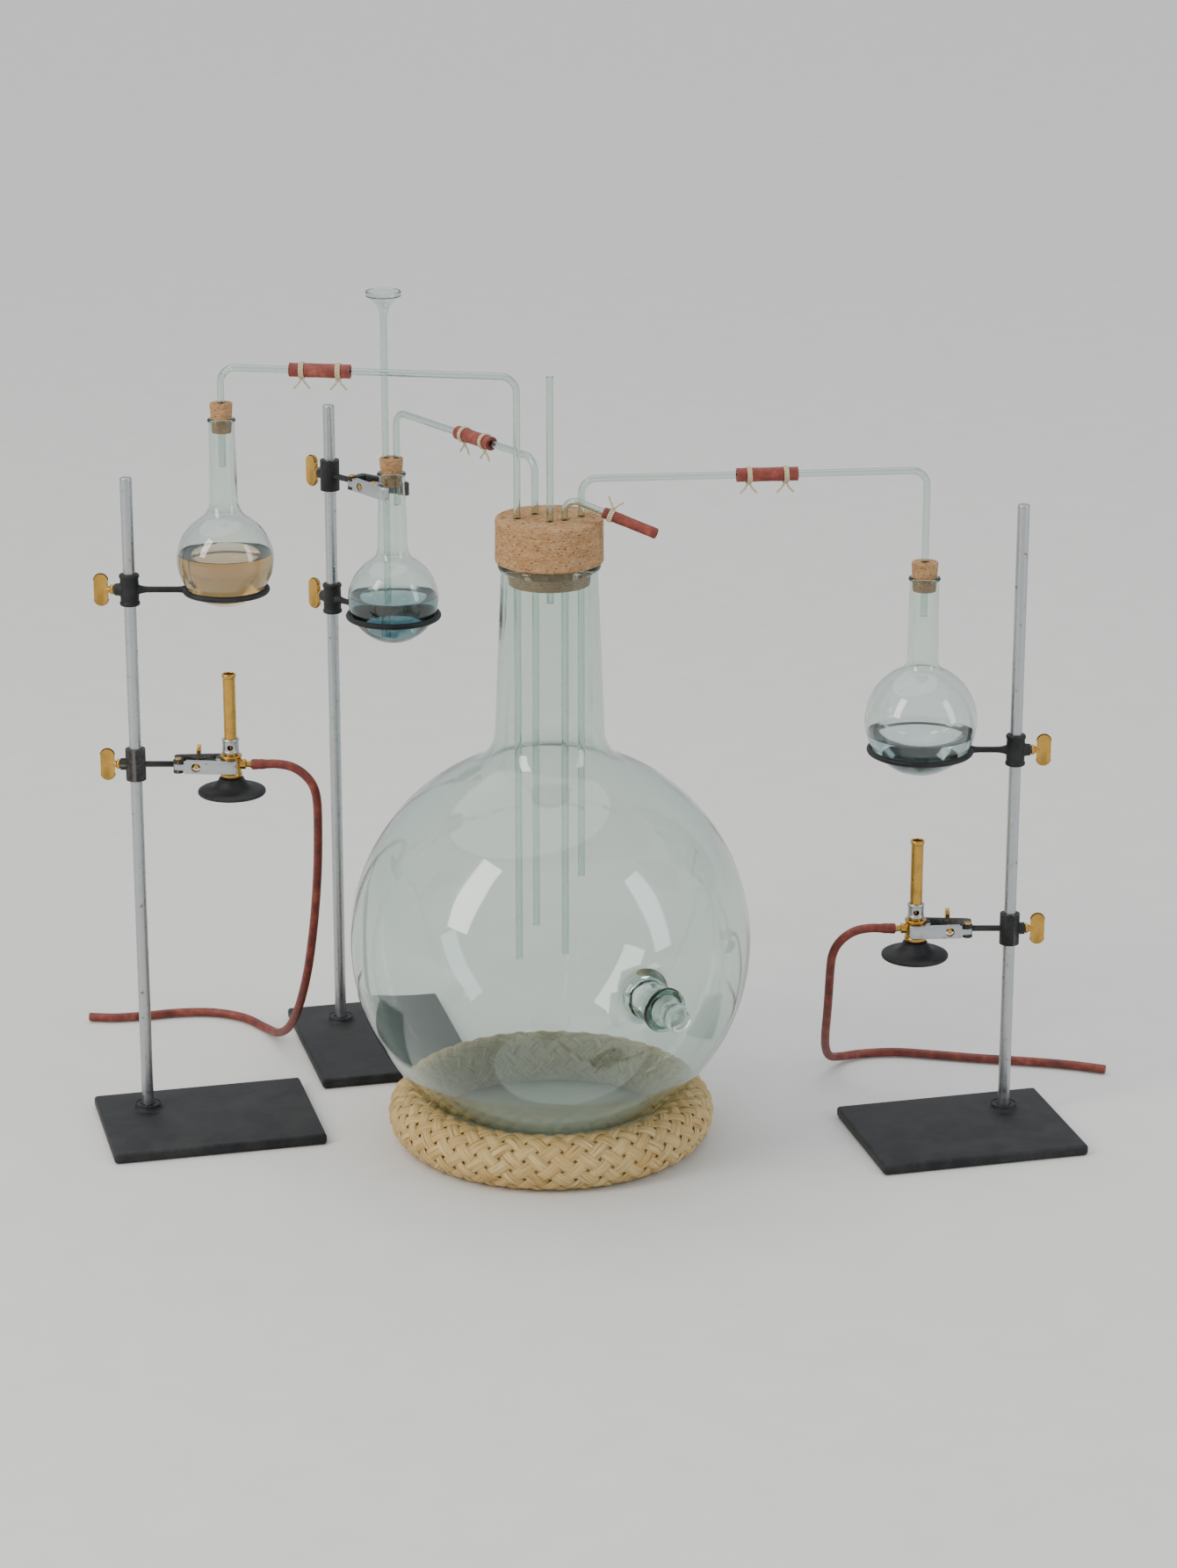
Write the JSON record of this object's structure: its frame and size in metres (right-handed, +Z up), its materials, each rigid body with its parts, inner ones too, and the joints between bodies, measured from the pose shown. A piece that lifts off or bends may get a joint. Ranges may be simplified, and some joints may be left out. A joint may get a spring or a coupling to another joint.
{
  "type": "gas mixing apparatus with globe flask and retort stands",
  "caption": "Glass globe flask on a straw ring, fed through a bored stopper by small flasks that hang in rings on retort stands over gas burners.",
  "frame": {"origin": "bench top, under the middle of the whole set without its gas hoses", "axes": "+X to the right stand, +Y to the back, +Z up"},
  "size_m": [1.0891, 0.6101, 0.8219],
  "materials": {
    "glass": "clear blown glass",
    "cork": "cut cork, fine dark pores",
    "rubber": "matt red-brown natural rubber",
    "straw": "plaited straw",
    "string": "twisted cotton string",
    "painted_iron": "black stove enamel on cast iron",
    "steel": "bright drawn steel",
    "brass": "turned brass"
  },
  "bodies": {
    "apparatus": {"globe_flask": "glass", "straw_ring": "straw", "globe_bung": "cork", "left_inlet": "glass", "middle_inlet": "glass", "right_inlet": "glass", "rubber_sleeves": "rubber", "sleeve_ties": "string", "left_base": "painted_iron", "left_rod": "steel", "left_flask": "glass", "left_stopper": "cork", "left_delivery": "glass", "left_gas_hose": "rubber", "middle_base": "painted_iron", "middle_rod": "steel", "middle_flask": "glass", "middle_stopper": "cork", "middle_delivery": "glass", "neck_clamp": "painted_iron", "neck_jaw_pin": "brass", "right_base": "painted_iron", "right_rod": "steel", "right_flask": "glass", "right_stopper": "cork", "right_delivery": "glass", "right_gas_hose": "rubber"},
    "side_stopper": {"tubulure_stopper": "glass"},
    "air_tube": {"air_tube": "glass"},
    "exhaust": {"exhaust_tube": "glass", "exhaust_tail": "rubber", "exhaust_tie": "string"},
    "thistle_funnel": {"thistle_funnel": "glass"},
    "middle_ring": {"middle_ring": "painted_iron"},
    "middle_ring_screw": {"middle_ring_screw": "brass"},
    "neck_clamp_screw": {"neck_clamp_screw": "brass"},
    "neck_jaw": {"neck_jaw": "steel"},
    "neck_jaw_screw": {"neck_jaw_screw": "brass"},
    "left_ring": {"left_ring": "painted_iron"},
    "left_ring_screw": {"left_ring_screw": "brass"},
    "left_burner": {"left_clamp": "painted_iron", "left_jaw_pin": "brass", "left_burner_foot": "painted_iron", "left_burner_body": "brass", "left_burner_tube": "brass"},
    "left_clamp_screw": {"left_clamp_screw": "brass"},
    "left_jaw": {"left_jaw": "steel"},
    "left_jaw_screw": {"left_jaw_screw": "brass"},
    "left_collar": {"left_burner_collar": "steel"},
    "right_ring": {"right_ring": "painted_iron"},
    "right_ring_screw": {"right_ring_screw": "brass"},
    "right_burner": {"right_clamp": "painted_iron", "right_jaw_pin": "brass", "right_burner_foot": "painted_iron", "right_burner_body": "brass", "right_burner_tube": "brass"},
    "right_clamp_screw": {"right_clamp_screw": "brass"},
    "right_jaw": {"right_jaw": "steel"},
    "right_jaw_screw": {"right_jaw_screw": "brass"},
    "right_collar": {"right_burner_collar": "steel"}
  },
  "joints": [
    {"name": "side_stopper_pull", "type": "slide", "parent": "apparatus", "child": "side_stopper", "axis": [0.4537, -0.8905, 0.0349], "range_m": [0, 0.045]},
    {"name": "air_tube_slide", "type": "slide", "parent": "apparatus", "child": "air_tube", "axis": [0, 0, 1], "range_m": [-0.12, 0.015]},
    {"name": "exhaust_swivel", "type": "hinge", "parent": "apparatus", "child": "exhaust", "pos_m": [-0.017, -0.072, 0.65], "axis": [0, 0, 1], "range_deg": [-100, 15]},
    {"name": "thistle_slide", "type": "slide", "parent": "apparatus", "child": "thistle_funnel", "axis": [0, 0, 1], "range_m": [-0.01, 0.06]},
    {"name": "left_ring_slide", "type": "slide", "parent": "apparatus", "child": "left_ring", "axis": [0, 0, 1], "range_m": [-0.08, 0]},
    {"name": "left_ring_screw_turn", "type": "hinge", "parent": "left_ring", "child": "left_ring_screw", "pos_m": [-0.466, -0.022, 0.56], "axis": [1, 0, 0], "range_deg": [0, 360]},
    {"name": "left_burner_slide", "type": "slide", "parent": "apparatus", "child": "left_burner", "axis": [0, 0, 1], "range_m": [-0.06, 0.04]},
    {"name": "left_clamp_screw_turn", "type": "hinge", "parent": "left_burner", "child": "left_clamp_screw", "pos_m": [-0.466, -0.022, 0.38], "axis": [1, 0, 0], "range_deg": [0, 360]},
    {"name": "left_jaw_open", "type": "hinge", "parent": "left_burner", "child": "left_jaw", "pos_m": [-0.402, -0.029, 0.38], "axis": [0, 0, 1], "range_deg": [-20, 0]},
    {"name": "left_jaw_screw_turn", "type": "hinge", "parent": "left_burner", "child": "left_jaw_screw", "pos_m": [-0.384, -0.022, 0.38], "axis": [0, 1, 0], "range_deg": [0, 360]},
    {"name": "left_collar_turn", "type": "hinge", "parent": "left_burner", "child": "left_collar", "pos_m": [-0.35, -0.022, 0.4], "axis": [0, 0, 1], "range_deg": [-90, 90]},
    {"name": "right_ring_slide", "type": "slide", "parent": "apparatus", "child": "right_ring", "axis": [0, 0, 1], "range_m": [-0.08, 0]},
    {"name": "right_ring_screw_turn", "type": "hinge", "parent": "right_ring", "child": "right_ring_screw", "pos_m": [0.452, -0.022, 0.395], "axis": [1, 0, 0], "range_deg": [0, 360]},
    {"name": "right_burner_slide", "type": "slide", "parent": "apparatus", "child": "right_burner", "axis": [0, 0, 1], "range_m": [-0.06, 0.04]},
    {"name": "right_clamp_screw_turn", "type": "hinge", "parent": "right_burner", "child": "right_clamp_screw", "pos_m": [0.452, -0.022, 0.206], "axis": [1, 0, 0], "range_deg": [0, 360]},
    {"name": "right_jaw_open", "type": "hinge", "parent": "right_burner", "child": "right_jaw", "pos_m": [0.388, -0.029, 0.206], "axis": [0, 0, 1], "range_deg": [0, 20]},
    {"name": "right_jaw_screw_turn", "type": "hinge", "parent": "right_burner", "child": "right_jaw_screw", "pos_m": [0.37, -0.022, 0.206], "axis": [0, 1, 0], "range_deg": [0, 360]},
    {"name": "right_collar_turn", "type": "hinge", "parent": "right_burner", "child": "right_collar", "pos_m": [0.336, -0.022, 0.226], "axis": [0, 0, 1], "range_deg": [-90, 90]},
    {"name": "middle_ring_slide", "type": "slide", "parent": "apparatus", "child": "middle_ring", "axis": [0, 0, 1], "range_m": [-0.1, 0]},
    {"name": "middle_ring_screw_turn", "type": "hinge", "parent": "middle_ring", "child": "middle_ring_screw", "pos_m": [-0.27685, 0.23885, 0.484], "axis": [0.7071, -0.7071, 0], "range_deg": [0, 360]},
    {"name": "neck_clamp_screw_turn", "type": "hinge", "parent": "apparatus", "child": "neck_clamp_screw", "pos_m": [-0.27685, 0.23885, 0.616], "axis": [0.7071, -0.7071, 0], "range_deg": [0, 360]},
    {"name": "neck_jaw_open", "type": "hinge", "parent": "apparatus", "child": "neck_jaw", "pos_m": [-0.23654, 0.18865, 0.616], "axis": [0, 0, 1], "range_deg": [-20, 0]},
    {"name": "neck_jaw_screw_turn", "type": "hinge", "parent": "apparatus", "child": "neck_jaw_screw", "pos_m": [-0.21887, 0.18087, 0.616], "axis": [0.7071, 0.7071, 0], "range_deg": [0, 360]}
  ]
}
